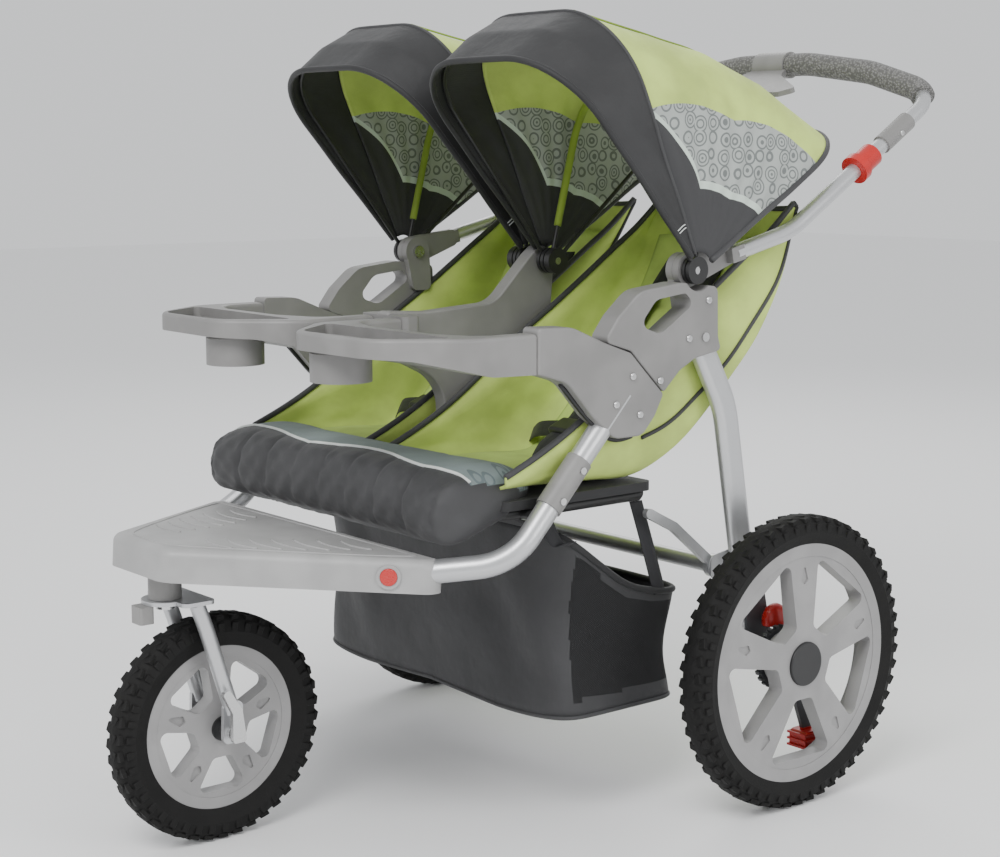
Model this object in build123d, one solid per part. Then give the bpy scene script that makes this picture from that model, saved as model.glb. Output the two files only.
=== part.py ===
"""Side-by-side double jogging stroller, in millimetres.

+X is the stroller's left side, -Y is forward and +Z is up. Places are given from the rear axle, on the
floor; save() moves every piece so that the origin lies on the floor under the middle of the object.
"""
from build123d import *
import os
from math import cos, radians, sin, sqrt

# ---- Wheels -------------------------------------------------------------------------------------------
WHEELBASE = 670          # front axle to rear axle
TRACK = 772              # between the rear tyres' middle planes
REAR_TYRE_R = 200        # 16 inch wheel
REAR_TYRE_W = 46
REAR_RIM_R = 165
FRONT_TYRE_R = 149       # 12 inch wheel
FRONT_TYRE_W = 43
FRONT_RIM_R = 112
AXLE_R = 6
SPOKES = 5
RUNNING = 0.05           # radial clearance of a running fit
GAP = 0.4                # clearance between pieces that only lie against each other

# ---- Frame --------------------------------------------------------------------------------------------
FRAME_X = 309            # middle plane of side tubes, legs and brackets
FRAME_TUBE_R = 15
TUBE_WALL = 1.6
BRACKET_W = 30           # thickness of a side bracket
KNEE = (-430, 380)       # where the front tube turns towards the nose
TUBE_TOP = (-247, 575)
TUBE_NOSE_X = 42
TUBE_Z = 366             # front tube under the footrest
NOSE_Y = -738            # caster stem
LEG_PIVOT = (-116, 641)
LEG_KNEE = (-62, 545)
LEG_DEPTH = 38
LEG_W = 20
LEG_SWING = 50           # how far the rear legs fold forward, degrees
CROSS_TUBE = (-57, 323)
CROSS_TUBE_R = 11
PIN_R = 4

# ---- Handle -------------------------------------------------------------------------------------------
HUB = (-128, 728)        # pivot of handle and canopies
HUB_PIN_R = 5
EAR_R = 22
HANDLE_R = 11
HANDLE_KNEE = (60, 773)
HANDLE_CORNER = (361, 961)
HANDLE_TOP_Z = 1013
GRIP_R = 17.5
CONSOLE_W = 62

# ---- Seats, trays, canopies ---------------------------------------------------------------------------
BAY_X = 171              # middle plane of one seat bay
CANOPY_W = 310
CANOPY_R = 360           # hub to the visor's crown
CANOPY_SKIN = 3
CANOPY_ROUND = 105
VISOR_FROM = 48          # angles above forward, about the hub
VISOR_TO = 66
ROOF_MID = (104, 296)
ROOF_REAR = (148, 352)
WIRE_R = 3               # canopy bows
SEAT_W = 258
SEAT_HINGE = (-158, 452)
SEAT_TOP = (99, 800)
PAN_Z = 440
TRAY_SPLIT_Y = -400
TRAY_TIP_Y = -600
TRAY_Z = 612
TRAY_H = 50
CUP_R = 40
CUP_WALL = 3

# ---- Footrest, basket ---------------------------------------------------------------------------------
FOOTREST_H = 42
FOOTREST_WALL = 4
FOOTREST_REAR = (-495, 344)      # lower rear edge
FOOTREST_PITCH = 4               # degrees, nose up
BASKET_X = 283
BASKET_FRONT = -327
BASKET_REAR = -93
BASKET_FLOOR = 142
BASKET_WALL = 4

CONSOLE_R = GRIP_R + 3   # rearmost point of the stroller
SHIFT_Y = (WHEELBASE + FRONT_TYRE_R - HANDLE_CORNER[0] - CONSOLE_R) / 2
SIDES = {"left": 1, "right": -1}
os.makedirs("parts", exist_ok=True)


def save(name, *shapes):
    """Write one node, moved into the stroller's own frame."""
    solids = [s for shape in shapes for s in shape.solids()]
    whole = solids[0] if len(solids) == 1 else Compound(children=solids)
    export_step(Pos(0, SHIFT_Y, 0) * whole, f"parts/{name}.step")


def mirrored(shape):
    """The same piece on the right side."""
    return mirror(shape, about=Plane.YZ)


def both(shape):
    return [shape, mirrored(shape)]


def side_plane(x):
    """Sketch plane seen from the left: its x runs along +Y and its y along +Z."""
    return Plane(origin=(x, 0, 0), x_dir=(0, 1, 0), z_dir=(1, 0, 0))


def slab(sketch, x0, x1):
    """A side-view outline, extruded from x0 to x1."""
    return extrude(side_plane(x0) * sketch, amount=x1 - x0)


def outline(points, radius):
    """Closed side-view outline with every corner rounded; radius is one value or one for each corner."""
    return make_face(FilletPolyline(*points, radius=radius, close=True))


def disc(centre, r, x0, x1, hole=0):
    """A disc or ring across the stroller, about the Y, Z point centre."""
    face = Circle(r) if not hole else Circle(r) - Circle(hole)
    return slab(Pos(*centre) * face, x0, x1)


def tube(points, radius, r, wall=0):
    """A bent round tube through points, or a rod if wall is 0."""
    path = FilletPolyline(*points, radius=radius) if len(points) > 2 else Line(*points)
    face = Circle(r) if not wall else Circle(r) - Circle(r - wall)
    return sweep(Plane(origin=path @ 0, z_dir=path % 0) * face, path)


def polar(angle, r, centre=HUB):
    """Y, Z at r from centre; angle is measured from forward, upwards."""
    a = radians(angle)
    return (centre[0] - r * cos(a), centre[1] + r * sin(a))


def along(p, q, t):
    """Point a share t of the way from p to q."""
    return tuple(a + (b - a) * t for a, b in zip(p, q))


# ---- Wheels -------------------------------------------------------------------------------------------
def tyre(r, rim_r, width):
    """Hollow tyre with a slightly flattened crown, about the X axis at the origin."""
    half = width / 2
    bead = rim_r - 5
    shoulder = r - 9
    with BuildSketch(Plane.XY) as section:
        with BuildLine():
            Polyline((-half + 7, bead), (-half, (rim_r + shoulder) / 2), (-half + 5, shoulder))
            ThreePointArc((-half + 5, shoulder), (0, r), (half - 5, shoulder))
            Polyline((half - 5, shoulder), (half, (rim_r + shoulder) / 2), (half - 7, bead))
            Line((half - 7, bead), (-half + 7, bead))
        make_face()
        with BuildLine():
            Polyline((-half + 12, bead + 6), (-half + 5, (rim_r + shoulder) / 2), (0, r - 6),
                     (half - 5, (rim_r + shoulder) / 2), (half - 12, bead + 6), close=True)
        make_face(mode=Mode.SUBTRACT)
    return revolve(section.sketch, Axis.X)


def rim(rim_r, width, hub_r, bore_r, face_x):
    """Moulded five-spoke rim about the X axis. face_x is the outer face of its lip; the spokes dish in."""
    lip = rim_r - 5
    half = width / 2
    well = [(-face_x, lip - 14), (-face_x, rim_r), (-face_x + 3, rim_r), (-half * 0.35, lip - 7),
            (half * 0.35, lip - 7), (face_x - 3, rim_r), (face_x, rim_r), (face_x, lip - 14)]
    with BuildSketch(Plane.XY) as ring:
        with BuildLine():
            Polyline(*well, close=True)
        make_face()
    with BuildSketch(Plane.XY) as web:
        with BuildLine():
            Polyline((face_x - 22, lip - 10), (face_x - 1, lip - 10), (face_x + 4, hub_r),
                     (face_x - 20, hub_r), close=True)
        make_face()
    body = revolve(ring.sketch, Axis.X) + revolve(web.sketch, Axis.X)
    body += slab(Circle(hub_r + 1) - Circle(bore_r), -face_x - 4, face_x + 4)
    # the windows leave spokes that widen from the hub to the lip
    near, far = hub_r * 0.46, rim_r * 0.17
    half_step = 180 / SPOKES
    window = []
    for r, half_w, turn in ((hub_r + 14, near, 1), (lip - 17, far, 1), (lip - 17, far, -1),
                            (hub_r + 14, near, -1)):
        a = radians(half_step) * turn
        window.append((r * cos(a) + half_w * sin(abs(a)), r * sin(a) - turn * half_w * cos(a)))
    cutter = outline(window, 9)
    for i in range(SPOKES):
        turned = Rot(0, 0, 360 / SPOKES * (i + 0.5) + 90) * cutter
        body -= slab(turned, -face_x, face_x + 10)
    # a drop-shaped recess in the outer third of each spoke
    drop = outline([(lip - 22, 0), (lip - 46, 7), (lip - 52, 0), (lip - 46, -7)], 2.5)
    for i in range(SPOKES):
        turned = Rot(0, 0, 360 / SPOKES * i + 90) * drop
        body -= slab(turned, face_x - 2, face_x + 10)
    return body


def gear_disc(r, bore_r, x0, x1, teeth=24):
    """Toothed brake disc."""
    body = disc((0, 0), r, x0, x1, bore_r)
    notch = Pos(r, 0) * Rectangle(8, r * 0.13)
    for i in range(teeth):
        body -= slab(Rot(0, 0, 360 / teeth * i) * notch, x0, x1)
    return body


REAR_FACE = REAR_TYRE_W / 2 - 6
FRONT_FACE = FRONT_TYRE_W / 2 - 8
WHEEL_X = TRACK / 2
HUB_R = 35
GEAR_IN = -REAR_TYRE_W / 2 - 8
rear_place = Pos(WHEEL_X, 0, REAR_TYRE_R)
rear_tyre = rear_place * tyre(REAR_TYRE_R, REAR_RIM_R, REAR_TYRE_W)
rear_rim = rear_place * rim(REAR_RIM_R - GAP, REAR_TYRE_W - 12, HUB_R, 15, REAR_FACE)
rear_rim -= rear_place * tyre(REAR_TYRE_R, REAR_RIM_R, REAR_TYRE_W)
cap = disc((0, 0), 30, REAR_FACE + 4, REAR_FACE + 8) + disc((0, 0), 14.9, REAR_FACE - 6, REAR_FACE + 4)
rear_cap = rear_place * fillet(cap.faces().sort_by(Axis.X)[-1].edges(), 2)
brake_disc = rear_place * (gear_disc(44, AXLE_R + RUNNING, GEAR_IN, GEAR_IN + 7)
                           + disc((0, 0), 20, GEAR_IN + 7, -REAR_FACE - 4, AXLE_R + RUNNING)
                           + disc((0, 0), 14.9, -REAR_FACE - 4, -REAR_FACE + 8, AXLE_R + RUNNING))
for name, side in SIDES.items():
    turn = mirrored if side < 0 else (lambda shape: shape)
    save(f"rear_tyre_{name}", turn(rear_tyre))
    save(f"rear_rim_{name}", turn(rear_rim))
    save(f"rear_hub_cap_{name}", turn(rear_cap))
    save(f"brake_disc_{name}", turn(brake_disc))

front_place = Pos(0, -WHEELBASE, FRONT_TYRE_R)
save("front_tyre", front_place * tyre(FRONT_TYRE_R, FRONT_RIM_R, FRONT_TYRE_W))
front_rim = rim(FRONT_RIM_R - GAP, FRONT_TYRE_W - 12, 25, 11, FRONT_FACE)
save("front_rim", front_place * (front_rim - tyre(FRONT_TYRE_R, FRONT_RIM_R, FRONT_TYRE_W)))
FORK_X = 40
bearing = disc((0, 0), 10.9, -FRONT_FACE - 8, FRONT_FACE + 8, AXLE_R + RUNNING)
bearing += disc((0, 0), 16, FRONT_FACE + 4 + GAP, FRONT_FACE + 8, AXLE_R + RUNNING)
bearing += disc((0, 0), 16, -FRONT_FACE - 8, -FRONT_FACE - 4 - GAP, AXLE_R + RUNNING)
save("front_bearings", front_place * bearing)

# ---- Fork, caster stem, quick release -----------------------------------------------------------------
FRONT_AXLE = (-WHEELBASE, FRONT_TYRE_R)
FORK_TUBE_R = 10
PLATE_Z = 322            # underside of the swivel plate
PLATE_T = 5
crown = Pos(0, NOSE_Y, PLATE_Z) * extrude(Circle(30) - Circle(8.2), amount=PLATE_T)
crown += Pos(0, NOSE_Y + 22, PLATE_Z) * extrude(
    RectangleRounded(2 * FORK_X + 2 * FORK_TUBE_R, 46, 9), amount=PLATE_T)
crown -= Pos(0, NOSE_Y, PLATE_Z) * extrude(Circle(8.2), amount=PLATE_T)
leg_points = [(FORK_X, NOSE_Y + 22, PLATE_Z + 1), (FORK_X, NOSE_Y + 34, PLATE_Z - 32),
              (FORK_X, FRONT_AXLE[0] + 2, FRONT_AXLE[1] + 26)]
fork_leg = tube(leg_points, 40, FORK_TUBE_R, TUBE_WALL)
foot = outline([(FRONT_AXLE[0] - 12, FRONT_AXLE[1] + 40), (FRONT_AXLE[0] + 16, FRONT_AXLE[1] + 40),
                (FRONT_AXLE[0] + 14, FRONT_AXLE[1] - 14), (FRONT_AXLE[0] - 14, FRONT_AXLE[1] - 14)], 8)
foot_plate = slab(foot, FORK_X - 3, FORK_X + 3) - disc(FRONT_AXLE, AXLE_R + RUNNING, FORK_X - 9, FORK_X + 9)
fork_side = fork_leg + foot_plate
save("fork", crown + fork_side + mirrored(fork_side))
stem = Pos(0, NOSE_Y, PLATE_Z + PLATE_T) * extrude(Circle(8), amount=52)
stem += Pos(0, NOSE_Y, PLATE_Z - 8) * extrude(Circle(12), amount=8 - GAP)
stem += Pos(0, NOSE_Y, PLATE_Z - 1) * extrude(Circle(8), amount=PLATE_T + 2)
save("caster_stem", stem)
axle_reach = FORK_X + 14
axle = disc(FRONT_AXLE, AXLE_R, -axle_reach, axle_reach)
axle += disc(FRONT_AXLE, 10, -FORK_X - 12, -FORK_X - 3 - GAP)
axle += disc(FRONT_AXLE, 9, FORK_X + 3 + GAP, FORK_X + 8)
for side in SIDES.values():
    inner, outer = sorted((side * (FRONT_FACE + 8 + GAP), side * (FORK_X - 3 - GAP)))
    axle += disc(FRONT_AXLE, 9, inner, outer)
save("front_axle", axle)
LEVER_X = axle_reach + GAP
lever = outline([(FRONT_AXLE[0] - 10, FRONT_AXLE[1] - 9), (FRONT_AXLE[0] + 10, FRONT_AXLE[1] - 9),
                 (FRONT_AXLE[0] + 4, FRONT_AXLE[1] + 34), (FRONT_AXLE[0] - 14, FRONT_AXLE[1] + 62),
                 (FRONT_AXLE[0] - 24, FRONT_AXLE[1] + 58), (FRONT_AXLE[0] - 10, FRONT_AXLE[1] + 30)], 4)
save("quick_release_lever", slab(lever, LEVER_X, LEVER_X + 7))

# ---- Footrest and nose --------------------------------------------------------------------------------
def footrest_frame(shape):
    """Place a piece that is drawn level, with its lower rear edge at the origin, on the pitched footrest."""
    return Pos(0, *FOOTREST_REAR) * Rot(-FOOTREST_PITCH, 0, 0) * shape


FOOT_L = -NOSE_Y + FOOTREST_REAR[0] + 42
plan = [(-66, -FOOT_L), (66, -FOOT_L), (262, -24), (256, 0), (-256, 0), (-262, -24)]
outer = extrude(make_face(FilletPolyline(*plan, radius=[30, 30, 22, 12, 12, 22], close=True)),
                amount=FOOTREST_H)
outer = fillet(outer.faces().sort_by(Axis.Z)[-1].edges(), 12)
hollow = extrude(offset(make_face(FilletPolyline(*plan, radius=[30, 30, 22, 12, 12, 22], close=True)),
                        amount=-FOOTREST_WALL), amount=FOOTREST_H - FOOTREST_WALL)
hollow = fillet(hollow.faces().sort_by(Axis.Z)[-1].edges(), 8)
rear_mouth = Box(2 * 240, 30, 2 * (FOOTREST_H - 12))
footrest = footrest_frame(outer - hollow - rear_mouth)

REFLECTOR_R = 11
slope = Vector(262 - 66, -24 + FOOT_L).normalized()
rim_at = Vector(66, -FOOT_L) + slope * (Vector(262 - 66, -24 + FOOT_L).length * 0.84)
facing = Plane(origin=(rim_at.X, rim_at.Y, 20), z_dir=(slope.Y, -slope.X, 0))
bezel = facing * extrude(Circle(REFLECTOR_R + 4) - Circle(REFLECTOR_R), amount=3)
bezel += facing * extrude(Circle(REFLECTOR_R), amount=0.8)
reflector = facing * (Pos(0, 0, 0.8) * extrude(Circle(REFLECTOR_R - 0.2), amount=4))
reflector = fillet(reflector.edges().group_by(lambda e: (e.center() - facing.origin).length)[-1], 1.2)
save("reflector_bezels", *both(footrest_frame(bezel)))
save("reflectors", *both(footrest_frame(reflector)))

HOUSING_TOP = 380
housing = Pos(0, NOSE_Y, PLATE_Z + PLATE_T + GAP) * extrude(Circle(21), amount=HOUSING_TOP - PLATE_Z - PLATE_T)
nose_y = NOSE_Y + 2
socket_z = TUBE_Z
housing += Pos(0, nose_y, socket_z) * Box(2 * TUBE_NOSE_X + 10, 36, 22)
housing -= Pos(0, NOSE_Y, PLATE_Z) * extrude(Circle(8 + RUNNING), amount=PLATE_T + 52 + 1)
tube_points = [(FRAME_X, *TUBE_TOP), (FRAME_X, *KNEE), (TUBE_NOSE_X + 178, KNEE[0] - 112, TUBE_Z),
               (TUBE_NOSE_X, NOSE_Y + 22, TUBE_Z)]
front_tube = tube(tube_points, [85, 75], FRAME_TUBE_R, TUBE_WALL)
front_rod = tube(tube_points, [85, 75], FRAME_TUBE_R + RUNNING)
housing = housing - front_rod - mirrored(front_rod)
save("caster_housing", housing.solids().sort_by(SortBy.VOLUME)[-1])
save("front_frame_tubes", *both(front_tube))
save("footrest", footrest - front_rod - mirrored(front_rod))

lock = Pos(0, NOSE_Y - 32, PLATE_Z - 11 - GAP) * Box(26, 20, 22)
lock = fillet(lock.edges().filter_by(Axis.Z), 4)
save("swivel_lock", lock - Pos(0, NOSE_Y, PLATE_Z - 40) * extrude(Circle(21.5), amount=80))

upper, lower = (FRAME_X, *TUBE_TOP), (FRAME_X, *KNEE)
sleeve_line = [along(upper, lower, 0.40), along(upper, lower, 0.68)]
sleeve = tube(sleeve_line, 0, FRAME_TUBE_R + 2.2, 2.2 - GAP / 4)
sleeve_rivets = []
for share in (0.45, 0.63):
    spot = along(upper, lower, share)
    head = disc(spot[1:], 4.5, FRAME_X + FRAME_TUBE_R + 1, FRAME_X + FRAME_TUBE_R + 4.5)
    sleeve_rivets.append(head - tube(sleeve_line, 0, FRAME_TUBE_R + 2.2 + GAP / 4))
save("frame_sleeves", *both(sleeve))

# ---- Side brackets ------------------------------------------------------------------------------------
IN_X, OUT_X = FRAME_X - BRACKET_W / 2, FRAME_X + BRACKET_W / 2
SEAM = [(-292, 645), (-246, 629), (-222, 605), (-188, 572)]
arm = outline([(TRAY_SPLIT_Y, TRAY_Z), (TRAY_SPLIT_Y, TRAY_Z + 57), (-345, 667), SEAM[0], SEAM[1], SEAM[2],
               SEAM[3], (-203, 545), (-225, 521), (-272, 521), (-310, 552), (-352, 598)],
              [2, 6, 50, 8, 12, 12, 6, 14, 22, 22, 40, 40])
loop = outline([SEAM[0], (-268, 676), (-232, 706), (-160, 714), (-92, 706), (-90, 640), (-84, 622),
                (-132, 614), (-160, 600), (-188, 574), (-222, 607), (-246, 631)],
               [8, 40, 40, 60, 10, 30, 6, 20, 20, 4, 12, 12])
hand_hole = outline([(-232, 662), (-196, 649), (-136, 686), (-152, 700), (-204, 694)], [10, 22, 9, 9, 22])
arm_solid = slab(arm, IN_X, OUT_X)
arm_solid = fillet(arm_solid.faces().sort_by(Axis.X)[-1].edges(), 3)
arm_solid -= tube(tube_points, [85, 75], FRAME_TUBE_R + RUNNING)
loop_solid = slab(loop, IN_X, OUT_X)
loop_solid = fillet(loop_solid.faces().sort_by(Axis.X)[-1].edges(), 2.5)
loop_solid -= slab(hand_hole, IN_X - 1, OUT_X + 1)
EAR_X = (284, 295.5)
ear = outline([(HUB[0] - 8, HUB[1] - 60), (HUB[0] + 26, HUB[1] - 60), (HUB[0] + EAR_R, HUB[1] + 6),
               (HUB[0], HUB[1] + EAR_R + 4), (HUB[0] - EAR_R, HUB[1] + 6)], 10)
ear_solid = slab(ear, *EAR_X) + disc(HUB, EAR_R, *EAR_X)
loop_solid += ear_solid
loop_solid -= disc(HUB, EAR_R + 5, EAR_X[1], OUT_X + 1)
loop_solid -= disc(HUB, HUB_PIN_R + RUNNING, 270, 340)
arm_solid -= slab(loop, IN_X - 1, OUT_X + 1)
leg_back = (LEG_KNEE[0] - LEG_PIVOT[0], LEG_KNEE[1] - LEG_PIVOT[1])
leg_len = sqrt(leg_back[0] ** 2 + leg_back[1] ** 2)
unit = (leg_back[0] / leg_len, leg_back[1] / leg_len)
c, s = cos(radians(LEG_SWING)), sin(radians(LEG_SWING))
folded = (unit[0] * c + unit[1] * s, -unit[0] * s + unit[1] * c)
far_r = 90
slot_r = LEG_DEPTH / 2 + 1.5
slot = make_hull([*(Pos(*LEG_PIVOT) * Circle(slot_r)).edges(),
                  *(Pos(LEG_PIVOT[0] + unit[0] * far_r, LEG_PIVOT[1] + unit[1] * far_r)
                    * Circle(slot_r)).edges(),
                  *(Pos(LEG_PIVOT[0] + folded[0] * far_r, LEG_PIVOT[1] + folded[1] * far_r)
                    * Circle(slot_r)).edges()])
slot_cut = slab(slot, FRAME_X - LEG_W / 2 - 0.5, FRAME_X + LEG_W / 2 + 0.5)
pin_cut = disc(LEG_PIVOT, PIN_R + RUNNING, IN_X - 5, OUT_X + 5)
loop_solid = loop_solid - slot_cut - pin_cut
arm_solid -= slot_cut
save("arm_brackets", *both(arm_solid))
save("loop_brackets", *both(loop_solid))

rivets = list(sleeve_rivets)
for spot in ((-244, 599), (-272, 565), (-231, 549), (-196, 590), (-110, 689), (-145, 641)):
    dome = disc(spot, 5, OUT_X + 0.1, OUT_X + 3)
    rivets.append(fillet(dome.faces().sort_by(Axis.X)[-1].edges(), 2))
leg_pin = disc(LEG_PIVOT, PIN_R, IN_X + 0.5, OUT_X + 0.1) + disc(LEG_PIVOT, 6, OUT_X + 0.1, OUT_X + 3)
save("bracket_rivets", *[piece for rivet in rivets for piece in both(rivet)])

# ---- Hub stacks: pins and discs ------------------------------------------------------------------
PANEL_OUT = BAY_X + CANOPY_W / 2
STACK = {"end": (296, 306.6), "mid": (309, 314.6), "front": (317, PANEL_OUT - CANOPY_SKIN - GAP)}
INNER_STACK = {key: (2 * BAY_X - x1, 2 * BAY_X - x0) for key, (x0, x1) in STACK.items()}
hub_pin_out = disc(HUB, HUB_PIN_R, EAR_X[0] - 5, STACK["front"][1] - 1)
hub_pin_out += disc(HUB, 9, EAR_X[0] - 5, EAR_X[0] - 0.2)
hub_pin_mid = disc(HUB, HUB_PIN_R, -INNER_STACK["end"][1], INNER_STACK["end"][1])
save("hinge_pins", *both(hub_pin_out), hub_pin_mid, *both(leg_pin))

CENTER_W = 24
mid_arm = outline([(TRAY_SPLIT_Y, TRAY_Z), (TRAY_SPLIT_Y, TRAY_Z + 57), (-330, 665), (-215, 672),
                   (HUB[0] - EAR_R, HUB[1] + 8), (HUB[0], HUB[1] + EAR_R + 3), (HUB[0] + EAR_R, HUB[1] + 2),
                   (-112, 650), (-170, 560), (-235, 470), (-300, 440), (-318, 470), (-290, 560)],
                  [2, 6, 50, 50, 12, 14, 12, 40, 60, 30, 12, 12, 60])
center = slab(mid_arm, -CENTER_W / 2, CENTER_W / 2)
center = fillet(center.faces().sort_by(Axis.X)[-1].edges() + center.faces().sort_by(Axis.X)[0].edges(), 3)
center -= disc(HUB, HUB_PIN_R + RUNNING, -20, 20)
TRAY_ARM_IN = (26, 50)       # the inner tray arm, across
fork_arm = Pos(0, TRAY_SPLIT_Y + 14, TRAY_Z + 27) * Box(2 * TRAY_ARM_IN[1], 28, 50)
fork_arm = fillet(fork_arm.edges().filter_by(Axis.Z), 8)
save("center_bracket", center + fork_arm)

# ---- Seat frame, pans, cushion ------------------------------------------------------------------------
RAIL_X = 266
RAIL_R = 8
BRACE_X = 288.5
BRACE_W = 8
rail_z = PAN_Z - RAIL_R - GAP
RAIL_FRONT = -402
RAIL_REAR = -178
seat_u = tube([(RAIL_X, RAIL_REAR, rail_z), (RAIL_X, RAIL_FRONT, rail_z), (-RAIL_X, RAIL_FRONT, rail_z),
               (-RAIL_X, RAIL_REAR, rail_z)], 18, RAIL_R)
TIE_Y = along(KNEE, TUBE_TOP, (rail_z - KNEE[1]) / (TUBE_TOP[1] - KNEE[1]))[0]
tie = disc((TIE_Y, rail_z), 6, RAIL_X + RAIL_R - 2, FRAME_X) - front_rod
rear_bar = tube([(-RAIL_X + 4, RAIL_REAR + 6, rail_z), (RAIL_X - 4, RAIL_REAR + 6, rail_z)], 0, RAIL_R)
save("seat_frame", seat_u + rear_bar + tie + mirrored(tie))
pan = Pos(BAY_X - 12, (-425 + SEAT_HINGE[0] - 12.6) / 2, PAN_Z + 6) * Box(
    SEAT_W, 425 + SEAT_HINGE[0] - 12.6, 12)
pan = fillet(pan.edges().filter_by(Axis.Z), 14)
save("seat_pans", *both(pan - Pos(0, -300, 470) * Box(CENTER_W + 1, 400, 120)))

ROLL_Y = -478
cushion = outline([(-425 - GAP, PAN_Z - 6), (-425 - GAP, PAN_Z + 44), (-455, PAN_Z + 52), (ROLL_Y - 40, 462),
                   (ROLL_Y - 36, 412), (ROLL_Y, 400), (-440, 412)], [4, 16, 30, 26, 26, 20, 10])
CUSHION_HALF = 283
save("front_cushion", slab(cushion, -CUSHION_HALF, CUSHION_HALF))

# ---- Trays --------------------------------------------------------------------------------------------
ARM_IN = (IN_X + 2, OUT_X - 2)
split = TRAY_SPLIT_Y - GAP
x_in, x_out = TRAY_ARM_IN[0] - 8, OUT_X - 2
plan_outer = [(x_out, split), (x_out, -500), (x_out - 70, TRAY_TIP_Y), (x_in + 80, TRAY_TIP_Y - 6),
              (x_in, -520), (x_in, split)]
plan_inner = [(IN_X + 2, split + 30), (IN_X + 2, -470), (BAY_X + 70, -492), (BAY_X - 60, -492),
              (TRAY_ARM_IN[1] - 6, -470), (TRAY_ARM_IN[1] - 6, split + 30)]
tray_plan = make_face(FilletPolyline(*plan_outer, radius=[2, 70, 60, 55, 50, 2], close=True))
tray_plan -= make_face(FilletPolyline(*plan_inner, radius=[2, 30, 60, 60, 30, 2], close=True))
tray = Pos(0, 0, TRAY_Z) * extrude(tray_plan, amount=TRAY_H)
side_cut = outline([(split + 1, TRAY_Z - 9), (TRAY_TIP_Y - 30, TRAY_Z - 9), (TRAY_TIP_Y - 30, TRAY_Z + 28),
                    (-560, TRAY_Z + 24), (-470, TRAY_Z + 2), (split + 1, TRAY_Z)],
                   [2, 2, 2, 60, 60, 2])
tray -= slab(side_cut, -10, 340)
tray = fillet(tray.faces().sort_by(Axis.Z)[-1].edges(), 5)
dish_corners = [(x_out - 10, -503), (x_out - 72, TRAY_TIP_Y), (x_in + 80, TRAY_TIP_Y - 4), (x_in + 8, -508)]
dish_plan = offset(make_face(FilletPolyline(*dish_corners, radius=[14, 50, 50, 14], close=True)), amount=-7)
tray -= Pos(0, 0, TRAY_Z + TRAY_H - 13) * extrude(dish_plan, amount=40)
CUP = (BAY_X - 46, -553)
tray += Pos(*CUP, TRAY_Z - 14) * extrude(Circle(CUP_R - 1), amount=TRAY_H - 14)
tray -= Pos(*CUP, TRAY_Z - 14 + CUP_WALL) * extrude(Circle(CUP_R - 1 - CUP_WALL), amount=90)
save("tray_left", tray)
save("tray_right", mirrored(tray))

# ---- Seat backs ---------------------------------------------------------------------------------------
back_line = [(SEAT_HINGE[0] - 10, SEAT_HINGE[1] + 1), (SEAT_HINGE[0] + 12, SEAT_HINGE[1] - 10),
             (SEAT_HINGE[0] + 92, 520), (60, 640), (SEAT_TOP[0] + 4, 720), SEAT_TOP,
             (SEAT_TOP[0] - 22, SEAT_TOP[1] - 4), (70, 720), (30, 650), (-90, 545)]
back = slab(outline(back_line, [4, 8, 40, 60, 40, 8, 8, 40, 40, 40]), BAY_X - 12 - SEAT_W / 2,
            BAY_X - 12 + SEAT_W / 2)
WING_T = 6
wing = outline([(SEAT_HINGE[0] - 10, SEAT_HINGE[1] + 1), (-90, 545), (30, 650), (70, 720), (77, 795),
                (-20, 735), (-120, 640), (-220, 560), (-300, 500), (-290, 470)],
               [4, 30, 30, 20, 8, 60, 60, 60, 14, 14])
wing_left = slab(wing, BAY_X - 12 + SEAT_W / 2 - WING_T, BAY_X - 12 + SEAT_W / 2)
wing_in = slab(wing, BAY_X - 12 - SEAT_W / 2, BAY_X - 12 - SEAT_W / 2 + WING_T)
seat = back + wing_left + wing_in
save("seat_back_left", seat)
save("seat_back_right", mirrored(seat))

# ---- Basket -------------------------------------------------------------------------------------------
bin_side = [(BASKET_FRONT, BASKET_FLOOR + 12), (BASKET_FRONT, 366), (-200, 303), (BASKET_REAR, 280),
            (BASKET_REAR, BASKET_FLOOR + 8), (-200, BASKET_FLOOR)]
bin_outer = slab(outline(bin_side, [25, 2, 60, 2, 25, 60]), -BASKET_X, BASKET_X)
bin_inner = slab(outline([(BASKET_FRONT + BASKET_WALL, BASKET_FLOOR + 16), (BASKET_FRONT + BASKET_WALL, 440),
                          (BASKET_REAR - BASKET_WALL, 440), (BASKET_REAR - BASKET_WALL, BASKET_FLOOR + 12),
                          (-200, BASKET_FLOOR + BASKET_WALL)], [22, 2, 2, 22, 60]),
                 -BASKET_X + BASKET_WALL, BASKET_X - BASKET_WALL)
save("basket", bin_outer - bin_inner)
straps = []
for y0, z0, y1 in ((BASKET_FRONT + 17, 357.6, RAIL_FRONT + 60), (-150, 292.3, RAIL_REAR - 4)):
    straps.append(tube([(RAIL_X, y1, rail_z - RAIL_R - GAP), (BASKET_X - 2, y0, z0 + 1.5)], 0, 2))
save("basket_straps", *[piece for strap in straps for piece in both(strap)])

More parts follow.
